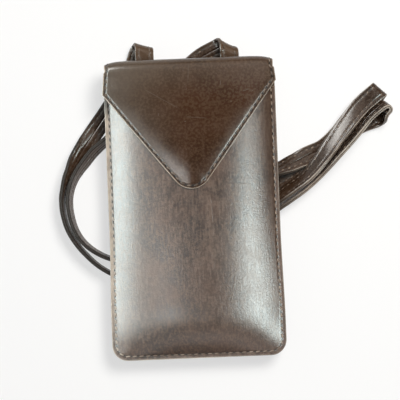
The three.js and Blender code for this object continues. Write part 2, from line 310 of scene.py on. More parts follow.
def makeStrap():
    section = strapSection()
    count, around = len(strapPlaces), len(section)
    rings = strapPlaces[:, None] + section[None, :, :1] * strapSides[:, None]
    rings = rings + section[None, :, 1:] * strapFaces[:, None]
    faces = []
    for i in range(count - 1):
        low, high = i * around, (i + 1) * around
        for k in range(around):
            after = (k + 1) % around
            faces.append((low + k, low + after, high + after, high + k))
    faces.append(tuple(range(around)))
    faces.append(tuple(range((count - 1) * around, count * around)))
    piece = meshPiece("strapStrip", rings.reshape(-1, 3), faces)
    fromEdge = strapSetup["width"] / 2 - np.abs(section[:, 0])
    storeValues(piece.data, "edgeRoom", np.tile(fromEdge, count))
    storeValues(piece.data, "through", np.tile(section[:, 1], count))
    facesOutward(piece)
    bpy.ops.object.shade_smooth_by_angle(angle=math.radians(strapSetup["smoothAngle"]))
    return piece


strapStrip = makeStrap()
strapLength = float(runLengths(strapPlaces)[-1])
print("strap made:", len(strapPlaces), "stations,", round(strapLength, 4), "m")


# Pouch: the leather's middle surfaces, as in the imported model
pouch = {
    "halfWidth": 0.055,
    "flare": 0.001,
    "flareSpan": (0.015, 0.075),
    "bottom": -0.0964,
    "foldTop": 0.096,
    "corner": 0.01,
    "cornerSteps": 12,
    "baseStep": 0.0018,
    "leather": 0.002,
    "backLevel": 0.0136,
    "frontLevel": 0.0159,
    "flapLevel": 0.0188,
    "mouth": 0.0765,
    "margin": 0.003,
    "crownHeight": 0.0115,
    "crownPower": 3.1,
    "crownEasing": 0.75,
    "crownSpan": (-0.04, 0.06),  # down from the middle
    "bottomRise": 0.036,
    "bottomPower": 2.9,
    "lowerEase": 0.07,
    "lowerSpan": (0.005, 0.06),
    "mouthDroop": 0.32,
    "droopStart": 0.058,
    "flapDrop": 0.5,
    "flapPower": 3,
    "stitchInset": 0.0019,
    "panelSeam": 0.0028,
    "stitchPitch": 0.0044,
    "rowStep": 0.0011,
    "insets": [
        0, 0.0004, 0.0008, 0.0012, 0.0016, 0.0019, 0.0022, 0.0025, 0.0028, 0.0033, 0.0039, 0.0045,
    ],
    "gridInset": 0.0052,
}


def crown(x, y):
    side = np.minimum(1, np.abs(x) / (pouch["halfWidth"] - pouch["margin"]))
    rise = np.clip((y - pouch["bottom"] - pouch["margin"]) / pouch["bottomRise"], 0, 1)
    power = pouch["crownPower"] - pouch["crownEasing"] * smoothStep(-y, *pouch["crownSpan"])
    across = 1 - side ** power
    along = 1 - (1 - rise) ** pouch["bottomPower"]
    past = np.maximum(0, (y - pouch["droopStart"]) / (pouch["foldTop"] - pouch["droopStart"]))
    droop = 1 - pouch["mouthDroop"] * past ** 2
    ease = 1 - pouch["lowerEase"] * smoothStep(-y, *pouch["lowerSpan"])
    return pouch["crownHeight"] * across * along * droop * ease


# The flap lies flatter than the panel under it
def flapCrown(x, y):
    out = np.abs(x) / pouch["halfWidth"]
    return crown(0, y) * (1 - pouch["flapDrop"] * out ** pouch["flapPower"])


def sideFlare(y):
    return pouch["flare"] * smoothStep(-y, *pouch["flareSpan"])


# Outline of a panel that is sewn round its sides and its bottom, from its top left corner
def pouchOutline(top):
    half, low, corner = pouch["halfWidth"] + pouch["flare"], pouch["bottom"], pouch["corner"]
    turns = np.radians(np.linspace(180, 270, pouch["cornerSteps"] + 1))
    centre = np.array([corner - half, low + corner])
    arc = centre + corner * np.stack([np.cos(turns), np.sin(turns)], axis=1)
    middle = pouch["cornerSteps"] // 2
    side = spaced(np.array([(0, top), (0, low + corner)]), pouch["rowStep"])
    side[:, 0] = -pouch["halfWidth"] - sideFlare(side[:, 1])
    left = np.vstack([side[:-1], arc[:middle + 1]])
    right = (left * (-1, 1))[::-1]
    base = spaced(np.array([arc[-1], arc[-1] * (-1, 1)]), pouch["baseStep"])
    lowerArc = arc[middle:-1]
    bottom = np.vstack([lowerArc, base, (lowerArc * (-1, 1))[::-1]])
    return left, bottom, right


def quads(index):
    corners = [index[:-1, :-1], index[1:, :-1], index[1:, 1:], index[:-1, 1:]]
    return np.stack(corners, axis=-1).reshape(-1, 4)


# Flat places of a sewn sheet: rows that follow its outline, then a grid inside them
def sewnSheet(left, bottom, right, bends=(), seam=pouch["stitchInset"]):
    outline = np.vstack([left, bottom[1:-1], right])
    ahead = unit(np.diff(outline, axis=0))
    inward = np.stack([-ahead[:, 1], ahead[:, 0]], axis=1)
    corner = unit(inward[:-1] + inward[1:])
    corner = corner / np.sum(corner * inward[1:], axis=1, keepdims=True)
    inward = np.vstack([[(1, 0)], corner, [(-1, 0)]])
    last = len(outline) - 1
    for start, end in zip(bends[:-1], bends[1:]):  # even steps along the straight edges between bends
        for ends in ((start, end), (last - start, last - end)):
            share = np.linspace(0, 1, end - start + 1)[:, None]
            picked = np.linspace(ends[0], ends[1], end - start + 1).round().astype(int)
            inward[picked] = (1 - share) * inward[ends[0]] + share * inward[ends[1]]
    rows = [outline + inset * inward for inset in pouch["insets"]]
    border = outline + pouch["gridInset"] * inward
    downs, acrosses = len(left) - 1, len(bottom) - 1
    gridLeft, gridRight = border[:downs + 1], border[downs + acrosses:][::-1]
    gridBottom = border[downs:downs + acrosses + 1]
    shareDown = runLengths(gridLeft) / runLengths(gridLeft)[-1]
    shareAcross = runLengths(gridBottom) / runLengths(gridBottom)[-1]
    gridTop = gridLeft[0] + shareAcross[:, None] * (gridRight[0] - gridLeft[0])
    u, v = shareAcross[None, :, None], shareDown[:, None, None]
    grid = (1 - u) * gridLeft[:, None] + u * gridRight[:, None]
    grid = grid + (1 - v) * gridTop[None] + v * gridBottom[None]
    grid = grid - (1 - u) * (1 - v) * gridTop[0] - u * (1 - v) * gridTop[-1]
    grid = grid - (1 - u) * v * gridBottom[0] - u * v * gridBottom[-1]
    around = len(outline)
    ringIndex = np.arange(len(rows) * around).reshape(len(rows), around)
    gridIndex = np.arange((downs + 1) * (acrosses + 1)).reshape(downs + 1, acrosses + 1)
    gridIndex = gridIndex + len(rows) * around
    borderIndex = np.concatenate([gridIndex[:, 0], gridIndex[-1, 1:-1], gridIndex[::-1, -1]])
    loops = np.vstack([ringIndex, borderIndex])
    faces = [quads(loops)[:, ::-1], quads(gridIndex)]
    places = np.vstack([np.vstack(rows), grid.reshape(-1, 2)])
    inside = np.full(gridIndex.size, pouch["gridInset"])
    insets = np.concatenate([np.repeat(pouch["insets"], around), inside])
    topRow = np.concatenate([ringIndex[:, 0], gridIndex[0], ringIndex[::-1, -1]])
    stitchRow = ringIndex[pouch["insets"].index(seam)]
    return places, insets, np.vstack(faces), topRow, stitchRow


# Cut edges, and the hollow that the stitches pull into a seam
edgeSetup = {
    "round": 0.00045,
    "segments": 2,
    "bevelAngle": 55,
    "smoothAngle": 40,
    "pullDepth": 0.00042,
    "pullWidth": 0.00055,
    "seamReach": 3,  # in pull widths
    "betweenHoles": 0.55,  # how much shallower the seam is between its holes
    "pullReach": 0.8,
    "holeReach": 0.6,  # in half stitches
    "holeSpread": 0.6,
}


# Gives a sheet its wall, rounds its cut edges and pulls the leather in along the stitches
def leatherWall(name, places, insets, faces, stitchEnds, seam=pouch["stitchInset"]):
    piece = meshPiece(name, places, faces)
    storeValues(piece.data, "inset", insets)
    wall = piece.modifiers.new("wall", "SOLIDIFY")
    wall.thickness = pouch["leather"]
    wall.offset = 0
    wall.use_even_offset = True
    wall.material_offset_rim = 1
    edge = piece.modifiers.new("edge", "BEVEL")
    edge.width = edgeSetup["round"]
    edge.segments = edgeSetup["segments"]
    edge.limit_method = "ANGLE"
    edge.angle_limit = math.radians(edgeSetup["bevelAngle"])
    edge.material = 1
    piece.data.materials.append(None)
    piece.data.materials.append(None)
    applyModifiers(piece)
    mesh = piece.data
    spots, normals = readVectors(mesh, "co"), readVectors(mesh, "normal")
    away = (readValues(mesh, "inset") - seam) / edgeSetup["pullWidth"]
    nearest = np.full(len(spots), 1.0)
    close = np.abs(away) < edgeSetup["seamReach"]
    gaps = spots[close][:, None] - stitchEnds[None].astype(np.float32)
    reach = np.linalg.norm(gaps, axis=2).min(axis=1)
    nearest[close] = np.clip((reach - pouch["leather"] / 2) / (pouch["stitchPitch"] / 2), 0, 1)
    shallow = edgeSetup["betweenHoles"] * smoothStep(nearest, 0, edgeSetup["pullReach"])
    pull = edgeSetup["pullDepth"] * np.exp(-away ** 2) * (1 - shallow)
    writePlaces(mesh, spots - normals * pull[:, None])
    # stitch holes, which the finish paints dark as painted shade
    hole = 1 - smoothStep(nearest, 0, edgeSetup["holeReach"])
    storeValues(mesh, "hole", np.exp(-edgeSetup["holeSpread"] * away ** 2) * hole)
    onlyActive(piece)
    bpy.ops.object.shade_smooth_by_angle(angle=math.radians(edgeSetup["smoothAngle"]))
    return piece


# A stitch is a short twist of thread that dives into its holes. The cuts are shares of its length
stitchSetup = {
    "length": 0.0031,
    "strapLength": 0.0023,
    "width": 0.001,
    "height": 0.00074,
    "slant": 13,
    "sides": 8,
    "cuts": (-0.34, -0.14, 0.14, 0.34),
    "taper": 0.72,
    "leastFull": 0.1,
    "dive": 0.00034,
    "sunk": 0.00012,
    "lookAhead": 0.0006,
}


# Places of the stitches along a sewn line, and of the holes between them
def stitchPlaces(line, normals, pitch, closed=False):
    lengths = runLengths(line)
    count = max(1, round(lengths[-1] / pitch))
    middles = (np.arange(count) + 0.5) * lengths[-1] / count
    holes = np.arange(count + (not closed)) * lengths[-1] / count
    look = stitchSetup["lookAhead"]
    ahead = atLengths(line, lengths, np.minimum(middles + look, lengths[-1]))
    behind = atLengths(line, lengths, np.maximum(middles - look, 0))
    normal = unit(atLengths(normals, lengths, middles))
    way = ahead - behind
    way = unit(way - normal * np.sum(way * normal, axis=1, keepdims=True))
    return atLengths(line, lengths, middles), way, normal, atLengths(line, lengths, holes)


def makeFrontPanel():
    outline = pouchOutline(pouch["mouth"])
    flat, insets, faces, topRow, stitchRow = sewnSheet(*outline, seam=pouch["panelSeam"])
    level = pouch["frontLevel"] + crown(flat[:, 0], flat[:, 1])
    places = np.column_stack([flat, level])
    line = places[stitchRow]
    up = np.tile(upward, (len(line), 1))
    stitches = stitchPlaces(line, up, pouch["stitchPitch"])
    piece = leatherWall("frontPanel", places, insets, faces, stitches[3], pouch["panelSeam"])
    return piece, stitches


frontPanel, panelStitchPlaces = makeFrontPanel()
print("front panel made:", len(frontPanel.data.polygons), "faces")

# Back, fold and flap: one piece of leather
flapSetup = {
    "foldHalfWidth": 0.0536,
    "neckLength": 0.009,
    "foldDepth": 0.0062,
    "cornerDrop": 0.0022,
    "cornerPower": 12,
    "leftShoulder": (-0.0555, 0.0743),
    "rightShoulder": (0.0552, 0.0798),
    "tip": (-0.0007, 0.0126),
    "tipRadius": 0.013,
    "foldRows": 24,
    "foldEnd": 82,
    "neckRows": 5,
    "neckSteps": 12,
    "pressDepth": 0.0008,
    "pressWidth": 0.018,
    "pressEase": 0.003,
    "pressSpan": (0.03, 0.085),  # up from the tip
    "tipBulge": 0.0012,
}


def tipTangent(shoulder, side):
    centre = np.array([flapSetup["tip"][0], flapSetup["tip"][1] + flapSetup["tipRadius"]])
    outward = np.array(shoulder) - centre
    turn = math.atan2(outward[1], outward[0])
    turn += side * math.acos(flapSetup["tipRadius"] / np.linalg.norm(outward))
    return turn, centre


def flapOutline(top, acrosses):
    leftShoulder = np.array(flapSetup["leftShoulder"])
    rightShoulder = np.array(flapSetup["rightShoulder"])
    half, fold, radius = flapSetup["foldHalfWidth"], pouch["foldTop"], flapSetup["tipRadius"]
    leftTurn, centre = tipTangent(leftShoulder, 1)
    rightTurn, centre = tipTangent(rightShoulder, -1)
    leftTurn, rightTurn = leftTurn % (2 * math.pi), rightTurn % (2 * math.pi)
    around = np.linspace(leftTurn, rightTurn, acrosses + 1)
    bottom = centre + radius * np.stack([np.cos(around), np.sin(around)], axis=1)

    def neckEnd(shoulder, side):
        share = (top - shoulder[1]) / (fold - shoulder[1])
        return np.array([shoulder[0] + share * (side * half - shoulder[0]), top])

    downs = round(np.linalg.norm(bottom[0] - leftShoulder) / pouch["rowStep"])
    necks = flapSetup["neckSteps"]

    def side(shoulder, end, sign):
        neck = np.linspace(neckEnd(shoulder, sign), shoulder, necks + 1)
        return np.vstack([neck[:-1], np.linspace(shoulder, end, downs + 1)])

    leftSide = side(leftShoulder, bottom[0], -1)
    rightSide = side(rightShoulder, bottom[-1], 1)
    return leftSide, bottom, rightSide[::-1], (0, necks, necks + downs)


def makeBackAndFlap():
    neckStart = pouch["foldTop"] - flapSetup["foldDepth"] - flapSetup["neckLength"]
    left, bottom, right = pouchOutline(neckStart)
    flatBack, backInsets, backFaces, backTop, backStitches = sewnSheet(left, bottom, right)
    flapTop = pouch["foldTop"] - flapSetup["foldDepth"] - pouch["leather"]
    flapSides = flapOutline(flapTop, len(bottom) - 1)
    flatFlap, flapInsets, flapFaces, flapTopRow, flapStitches = sewnSheet(*flapSides)
    back = np.column_stack([flatBack, np.full(len(flatBack), pouch["backLevel"])])
    flapLevels = pouch["flapLevel"] + flapCrown(flatFlap[:, 0], flatFlap[:, 1])
    flap = np.column_stack([flatFlap, flapLevels])
    # the flap's edges lie pressed to the panel towards the tip
    ease = flapSetup["pressEase"]
    gaps = [np.linalg.norm(flatFlap[:, None] - side[None], axis=2).min(axis=1) for side in flapSides[:3]]
    fromEdge = -ease * np.log(sum(np.exp(-gap / ease) for gap in gaps))
    nearEdge = 1 - np.clip(fromEdge / flapSetup["pressWidth"], 0, 1)
    bulge = flapSetup["tipBulge"]
    pressed = bulge - (flapSetup["pressDepth"] + bulge) * nearEdge ** 2
    flap[:, 2] += pressed * (1 - smoothStep(flatFlap[:, 1], *flapSetup["pressSpan"]))
    # the neck below the fold and the fold itself, column by column
    share = back[backTop, 0] / back[backTop[-1], 0]
    x = share * flapSetup["foldHalfWidth"]
    turns = np.radians(np.linspace(-90, flapSetup["foldEnd"], flapSetup["foldRows"] + 1))
    rise = pouch["flapLevel"] + flapCrown(x, pouch["foldTop"]) - pouch["backLevel"]
    depth = np.minimum(flapSetup["foldDepth"], rise / 2)
    reach = pouch["foldTop"] - pouch["leather"] / 2
    reach = reach - flapSetup["cornerDrop"] * np.abs(share) ** flapSetup["cornerPower"]
    endLevel = pouch["flapLevel"] + flapCrown(x, reach - depth + depth * math.cos(turns[-1]))
    height = (endLevel - pouch["backLevel"]) / (1 + math.sin(turns[-1]))
    foldRows = []
    for turn in turns:
        y = reach - depth + depth * math.cos(turn)
        foldRows.append(np.column_stack([x, y, pouch["backLevel"] + height * (1 + math.sin(turn))]))
    neckEnd, count = back[backTop], flapSetup["neckRows"]
    neckRows = [neckEnd + (foldRows[0] - neckEnd) * k / count for k in range(1, count)]
    strips = np.array(neckRows + foldRows)
    flapOffset = len(back) + strips.shape[0] * strips.shape[1]
    stripIndex = len(back) + np.arange(strips.shape[0] * strips.shape[1]).reshape(strips.shape[:2])
    joinIndex = np.vstack([backTop, stripIndex, flapTopRow + flapOffset])
    places = np.vstack([back, strips.reshape(-1, 3), flap])
    insets = np.concatenate([backInsets, np.tile(backInsets[backTop], strips.shape[0]), flapInsets])
    # the outside of the sheet looks down at the back, up at the flap
    faces = np.vstack([backFaces[:, ::-1], quads(joinIndex), flapFaces + flapOffset])
    column = pouch["insets"].index(pouch["stitchInset"])
    leftFold, rightFold = strips[:, column], strips[:, -1 - column]
    line = np.vstack([back[backStitches][::-1], leftFold, flap[flapStitches], rightFold[::-1]])
    line = np.vstack([line, line[:1]])
    foldNormals = [np.array([0, math.cos(turn), math.sin(turn)]) for turn in turns]
    foldNormals = np.array([-upward] * len(neckRows) + foldNormals)
    normals = np.vstack([
        np.tile(-upward, (len(backStitches), 1)), foldNormals,
        np.tile(upward, (len(flapStitches), 1)), foldNormals[::-1], [-upward],
    ])
    stitches = stitchPlaces(line, normals, pouch["stitchPitch"], closed=True)
    piece = leatherWall("backAndFlap", places, insets, faces, stitches[3])
    return piece, stitches


backAndFlap, flapStitchPlaces = makeBackAndFlap()
print("back and flap made:", len(backAndFlap.data.polygons), "faces")


# One stitch along X, before it is copied along a row
def modelStitch(length):
    bpy.ops.object.select_all(action="DESELECT")
    bpy.ops.mesh.primitive_cylinder_add(vertices=stitchSetup["sides"], radius=0.5, depth=1,
                                        end_fill_type="TRIFAN", rotation=(0, math.pi / 2, 0))
    stitch = bpy.context.object
    bpy.ops.object.transform_apply(location=True, rotation=True, scale=True)
    bpy.ops.object.mode_set(mode="EDIT")
    for share in stitchSetup["cuts"]:
        bpy.ops.mesh.select_all(action="SELECT")
        bpy.ops.mesh.bisect(plane_co=(share, 0, 0), plane_no=(1, 0, 0))
    bpy.ops.object.mode_set(mode="OBJECT")
    places = readVectors(stitch.data, "co")
    along = places[:, 0] * 2
    full = np.sqrt(np.clip(1 - stitchSetup["taper"] * along ** 2, stitchSetup["leastFull"], 1))
    places[:, 0] *= length
    places[:, 1] *= stitchSetup["width"] * full
    places[:, 2] *= stitchSetup["height"] * full
    places[:, 2] -= stitchSetup["dive"] * np.abs(along) ** 3
    faces = [tuple(face.vertices) for face in stitch.data.polygons]
    bpy.data.objects.remove(stitch)
    return places, faces


def sewStitches(name, rows, lift, length=stitchSetup["length"]):
    stitchShape, stitchFaces = modelStitch(length)
    slant = math.radians(stitchSetup["slant"])
    places, faces, count = [], [], 0
    for middle, way, normal, holes in rows:
        turned = math.cos(slant) * way + math.sin(slant) * np.cross(normal, way)
        sideways = np.cross(normal, turned)
        for k in range(len(middle)):
            axes = np.stack([turned[k], sideways[k], normal[k]])
            places.append(middle[k] + lift * normal[k] + stitchShape @ axes)
            faces += [tuple(i + count for i in face) for face in stitchFaces]
            count += len(stitchShape)
    piece = meshPiece(name, np.vstack(places), faces)
    facesOutward(piece)
    bpy.ops.object.shade_smooth()
    return piece


stitchLift = pouch["leather"] / 2 - stitchSetup["sunk"]
panelStitches = sewStitches("panelStitches", [panelStitchPlaces], stitchLift)
flapStitches = sewStitches("flapStitches", [flapStitchPlaces], stitchLift)

strapStitchSetup = {"pitch": 0.0042, "line": 0.0034, "sunk": 0.00098, "lift": 0.00004}


def strapStitchRows():
    rows = []
    for across in (-1, 1):
        for face in (-1, 1):
            line = strapPlaces + across * strapStitchSetup["line"] * strapSides
            line = line + face * strapStitchSetup["sunk"] * strapFaces
            rows.append(stitchPlaces(line, face * strapFaces, strapStitchSetup["pitch"]))
    return rows


strapStitches = sewStitches("strapStitches", strapStitchRows(), strapStitchSetup["lift"],
                            stitchSetup["strapLength"])
print("stitches sewn")


# Shader sums: a wire is a node's output, and sums of wires add Math nodes
class Wire:
    def __init__(self, tree, socket=None):
        self.tree = tree
        self.socket = socket

    def node(self, kind, settings=None, inputs=None, out=0):
        made = self.tree.nodes.new(kind)
        for name, value in (settings or {}).items():
            setattr(made, name, value)
        for name, value in (inputs or {}).items():
            if isinstance(value, Wire):
                self.tree.links.new(value.socket, made.inputs[name])
            else:
                made.inputs[name].default_value = value
        return Wire(self.tree, made.outputs[out])

    def sum(self, operation, first, second):
        return self.node("ShaderNodeMath", {"operation": operation}, {0: first, 1: second})

    def __add__(self, other):
        return self.sum("ADD", self, other)

    def __sub__(self, other):
        return self.sum("SUBTRACT", self, other)

    def __rsub__(self, other):
        return self.sum("SUBTRACT", other, self)

    def __mul__(self, other):
        return self.sum("MULTIPLY", self, other)

    __radd__ = __add__
    __rmul__ = __mul__

    def between(self, low, high):
        return self.node("ShaderNodeMapRange", {"interpolation_type": "SMOOTHSTEP"},
                         {"Value": self, "From Min": low, "From Max": high})

    def mix(self, first, second):
        return self.node("ShaderNodeMix", {"data_type": "RGBA"}, {0: self, 6: first, 7: second}, out=2)


def newMaterial(name):
    material = bpy.data.materials.new(name)
    material.use_nodes = True
    material.node_tree.nodes.clear()
    return material, Wire(material.node_tree)


def finishMaterial(wire, shader):
    output = wire.tree.nodes.new("ShaderNodeOutputMaterial")
    wire.tree.links.new(shader.socket, output.inputs["Surface"])


def objectPlace(wire):
    return wire.node("ShaderNodeTexCoord", out="Object")


def objectAxis(wire, axis):
    return wire.node("ShaderNodeSeparateXYZ", {}, {0: objectPlace(wire)}, out=axis)


def attribute(wire, name):
    return wire.node("ShaderNodeAttribute", {"attribute_name": name}, out="Fac")


def noise(wire, place, scale, detail, rough):
    inputs = {"Vector": place, "Scale": scale, "Detail": detail, "Roughness": rough}
    return wire.node("ShaderNodeTexNoise", {}, inputs)


def drawnOut(wire, place, turn, stretch):
    inputs = {"Vector": place, "Rotation": (0, 0, turn), "Scale": (1, stretch, 1)}
    return wire.node("ShaderNodeMapping", {}, inputs)


def surfaceBump(wire, strength, depth, height):
    return wire.node("ShaderNodeBump", {}, {"Strength": strength, "Distance": depth, "Height": height})


leatherTones = {
    "panel": {
        "deep": (0.021, 0.0104, 0.0058, 1), "warm": (0.061, 0.0275, 0.0140, 1), "haze": (0.110, 0.064, 0.039, 1),
        "groove": (0.036, 0.018, 0.009, 1), "hole": (0.006, 0.0035, 0.002, 1), "edge": (0.36, 0.29, 0.225, 1),
        "rough": 0.35, "gloss": 0.44, "coat": 0.16, "drawn": 0.5, "wear": 0.75, "grain": 0.55,
    },
    "flap": {
        "deep": (0.023, 0.0082, 0.0020, 1), "warm": (0.040, 0.0145, 0.0042, 1), "haze": (0.074, 0.041, 0.021, 1),
        "groove": (0.012, 0.006, 0.003, 1), "hole": (0.006, 0.0035, 0.002, 1), "edge": (0.34, 0.265, 0.195, 1),
        # the flap's lighter tone below is for its scuffs and for its painted reflection
        "rubAndSheen": (0.125, 0.104, 0.080, 1),
        "rough": 0.23, "gloss": 0.28, "coat": 0, "drawn": 0.15, "wear": 0.6, "grain": 0.16,
    },
    "strap": {
        "deep": (0.020, 0.0095, 0.0045, 1), "warm": (0.048, 0.0245, 0.0130, 1), "haze": (0.068, 0.046, 0.032, 1),
        "groove": (0.009, 0.0055, 0.0035, 1), "edge": (0.27, 0.22, 0.175, 1), "rubAndSheen": (0.072, 0.040, 0.020, 1),
        "rough": 0.27, "gloss": 0.34, "coat": 0, "drawn": 0.1, "wear": 0.6, "grain": 0.25,
    },
}
leatherGrain = {
    "cloud": (24, 4, 0.55),  # scale, detail and roughness of each noise
    "stain": (85, 6, 0.62),
    "speck": (620, 3, 0.6),
    "streak": (800, 4, 0.6),
    "scratch": (230, 2, 0.5),
    "streakDraw": (0.15, 0.16),  # turn and stretch
    "scratchDraw": (0.9, 0.05),
    "poreScale": 1500,
    "bumpDepth": 0.0003,
    "coatRough": 0.3,
    "dyeRough": 0.8,
    "dyeGloss": 0.1,
}
# groove and hole darken the seam's hollow and the stitch holes as painted shade
markStrength = {"rubAndSheen": 0.75, "groove": 0.8, "hole": 0.9}


# Grain, wear and gloss that all the leather shares, and the marks that each piece has of its own, painted
# highlights and painted shade among them
def leatherFinish(name, tone, ownMarks):
    material, wire = newMaterial(name)
    marks, grain, place = ownMarks(wire), leatherGrain, objectPlace(wire)
    cloud, stain, speck = (noise(wire, place, *grain[kind]) for kind in ("cloud", "stain", "speck"))
    streak = noise(wire, drawnOut(wire, place, *grain["streakDraw"]), *grain["streak"])
    scratch = noise(wire, drawnOut(wire, place, *grain["scratchDraw"]), *grain["scratch"])
    pores = wire.node("ShaderNodeTexVoronoi", {"feature": "F1"},
                      {"Vector": place, "Scale": grain["poreScale"], "Randomness": 1})
    scratchMask = scratch.between(0.685, 0.72) * stain.between(0.45, 0.62)
    tint = (cloud * 0.6 + stain * 0.4).between(0.36, 0.64).mix(tone["deep"], tone["warm"])
    haze = (streak * tone["drawn"] + speck * (1 - tone["drawn"])).between(0.42, 0.62) * tone["wear"]
    color = haze.mix(tint, tone["haze"])
    color = (scratchMask * 0.5).mix(color, tone["haze"])
    for mark, strength in markStrength.items():
        if mark in marks:
            color = (marks[mark] * strength).mix(color, tone[mark])
    # pale cut edges: partly their own pale colour, partly a painted highlight on the side that the light catches
    paleEdgeAndHighlight = marks["pale"] * (0.55 + stain.between(0.36, 0.6) * 0.45)
    color = paleEdgeAndHighlight.mix(color, tone["edge"])
    rough = tone["rough"] + (streak - 0.5) * tone["drawn"] * 0.55 + (stain - 0.5) * 0.2
    rough = rough + paleEdgeAndHighlight * 0.2 + marks["groove"] * 0.35
    height = speck * 0.55 + streak * tone["drawn"] * 0.6 + pores * 0.25 + scratchMask * 0.25
    bump = surfaceBump(wire, tone["grain"], grain["bumpDepth"], height)
    shader = wire.node("ShaderNodeBsdfPrincipled", {}, {
        "Base Color": color, "Roughness": rough, "Normal": bump, "Specular IOR Level": tone["gloss"],
        "Coat Weight": tone["coat"], "Coat Roughness": grain["coatRough"],
    })
    if "dyeAndPaintedShade" in marks:  # dyed edges, and the panel's right side where shade is painted in, have little gloss
        dyeAndShade = wire.node("ShaderNodeBsdfPrincipled", {}, {
            "Base Color": tone["groove"], "Roughness": grain["dyeRough"],
            "Specular IOR Level": grain["dyeGloss"],
        })
        shader = wire.node("ShaderNodeMixShader", {}, {0: marks["dyeAndPaintedShade"], 1: shader, 2: dyeAndShade})
    finishMaterial(wire, shader)
    return material


# Where each piece is marked, in metres. Room is read from the cut edge inwards
panelWear = {
    # the wide pale band along the left side is a painted highlight; the narrow pale cut edge is painted less pale
    # towards the right, where less light falls
    "left": (-0.05, -0.035), "highlightRise": (-0.1, -0.045), "highlightRoom": (0.0018, 0.0026),
    "narrowRoom": (0.0004, 0.0009), "narrow": 0.45, "right": (0.02, 0.05), "rightLess": 0.25,
    "grooveIn": (0.0021, 0.0026), "grooveOut": (0.0031, 0.0037), "groove": 0.4,
    # a strip along the right side is painted darker and duller as painted shade
    "paintedShadeSide": (0.042, 0.05), "paintedShadeRise": (-0.04, 0.03), "dullRoom": (0.003, 0.004), "dyeAndPaintedShade": 0.5,
}
flapWear = {
    "grooveIn": (0.0008, 0.0012), "grooveOut": (0.0026, 0.0032), "groove": 0.3,
    # the cut edge is painted less pale towards the right, where less light falls
    "paleRoom": (0.0004, 0.0009), "pale": 0.85, "right": (-0.02, 0.03), "rightLess": 0.4,
    # the lighter left part and the band below the fold are a painted reflection
    "sheenSide": (-0.05, 0.005), "sheenRise": (0.02, 0.06), "rubAndSheen": 0.45,
    "foldRise": (0.068, 0.09), "foldSheen": 0.25,
    "scuffLevel": (0.016, 0.018),  # above the back, which has no scuffs
    "scuffPast": 0.3, "scuffFull": 0.4, "scuffWidth": (0.01, 0.1),  # in millimetres, squared across
    "scuffs": [  # start, end and strength
        ((-0.0291, 0.0770), (-0.0064, 0.0632), 0.30), ((-0.0033, 0.0582), (0.0108, 0.0568), 0.38),
        ((0.0201, 0.0805), (0.0199, 0.0776), 0.40), ((0.0339, 0.0732), (0.0377, 0.0744), 0.42),
        ((0.0258, 0.0670), (0.0266, 0.0669), 0.60), ((-0.0038, 0.0553), (-0.0030, 0.0552), 0.60),
        ((0.0002, 0.0929), (-0.0008, 0.0788), 0.22),
    ],
}
strapWear = {
    "paleRoom": (0.00025, 0.0006), "layers": (0.012, 0.09),  # from the middle line, in square millimetres
    "grooveIn": (0.0019, 0.0024), "grooveOut": (0.0028, 0.0033), "groove": 0.25,
    # the edges are painted paler towards the right as a painted highlight
    "right": (0.045, 0.075), "pale": 0.14, "highlightMore": 0.8,
    "dullRoom": (0.0003, 0.0008), "dullTop": (0.08, 0.09), "dyeAndPaintedShade": 0.9,
    "tabRise": (0.094, 0.101), "rightTab": (0.017, 0.022), "leftTab": (-0.021, -0.016),
}


# the seam's hollow, painted darker as painted shade
def sewnGroove(room, wear):
    return room.between(*wear["grooveIn"]) * (1 - room.between(*wear["grooveOut"])) * wear["groove"]


# The sewn margin is pale at its cut edge. Along the left side a wide pale band is a painted highlight, and towards
# the right the edge is painted less pale where less light falls
def panelMarks(wire):
    wear, room = panelWear, attribute(wire, "inset")
    x, y = objectAxis(wire, "X"), objectAxis(wire, "Y")
    left = (1 - x.between(*wear["left"])) * y.between(*wear["highlightRise"])
    wide, narrow = 1 - room.between(*wear["highlightRoom"]), 1 - room.between(*wear["narrowRoom"])
    narrow = narrow * (wear["narrow"] - x.between(*wear["right"]) * wear["rightLess"])
    # the strip along the right side is darkened as painted shade, where the panel's curve catches no light
    dyeAndPaintedShade = x.between(*wear["paintedShadeSide"]) * y.between(*wear["paintedShadeRise"])
    return {
        "pale": left * wide + (1 - left) * narrow, "groove": sewnGroove(room, wear),
        "hole": attribute(wire, "hole"), "dyeAndPaintedShade": dyeAndPaintedShade * room.between(*wear["dullRoom"]) * wear["dyeAndPaintedShade"],
    }


def scuffed(wire, wear):
    x, y, total = objectAxis(wire, "X"), objectAxis(wire, "Y"), 0
    for start, end, strength in wear["scuffs"]:
        middle, run = (np.array(start) + end) / 2, np.array(end) - start
        half = float(np.linalg.norm(run)) / 2
        wayX, wayY = (float(part) for part in run / (2 * half))
        right, up = (x - float(middle[0])) * 1000, (y - float(middle[1])) * 1000
        along, across = right * wayX + up * wayY, up * wayX - right * wayY
        reach = (half * 1000 + wear["scuffPast"]) ** 2
        line = 1 - (along * along).between(wear["scuffFull"] * reach, reach)
        total = line * (1 - (across * across).between(*wear["scuffWidth"])) * strength + total
    return total * objectAxis(wire, "Z").between(*wear["scuffLevel"])


